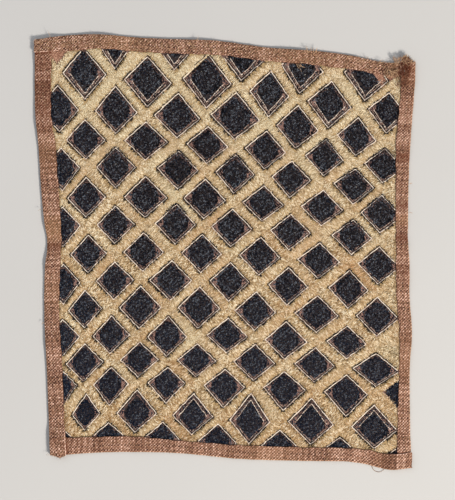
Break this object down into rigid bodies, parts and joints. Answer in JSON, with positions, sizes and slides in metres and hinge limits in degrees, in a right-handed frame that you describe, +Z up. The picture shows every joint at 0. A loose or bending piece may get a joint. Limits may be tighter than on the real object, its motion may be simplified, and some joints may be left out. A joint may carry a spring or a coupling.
{
  "type": "kuba raffia cloth",
  "caption": "Flat oblong raffia cloth with a diagonal lattice of cut-pile bands and dark pads, its edges folded in red-brown raffia strips that lap at the corners.",
  "frame": {"origin": "on the surface the cloth lies on, under the middle of its box", "axes": "+Z up out of the embroidered face, +Y along the longer side to the head of the cloth, +X to its right side seen from above"},
  "size_m": [0.541, 0.6183, 0.007],
  "materials": {
    "raffia_ground": "plain-woven raffia, brownish pink, matt",
    "tan_pile": "undyed raffia cut pile, straw tan, dry and matt",
    "dark_pile": "blue-black dyed raffia cut pile, matt",
    "line_stitch": "stem-stitched raffia thread, cream beside black",
    "dyed_raffia": "plain-woven raffia dyed red-brown, dull"
  },
  "bodies": {
    "root": {"embroidered_panel": "raffia_ground", "edge_strip_left": "dyed_raffia", "edge_strip_top": "dyed_raffia", "edge_strip_right": "dyed_raffia", "edge_strip_bottom": "dyed_raffia"}
  },
  "joints": []
}
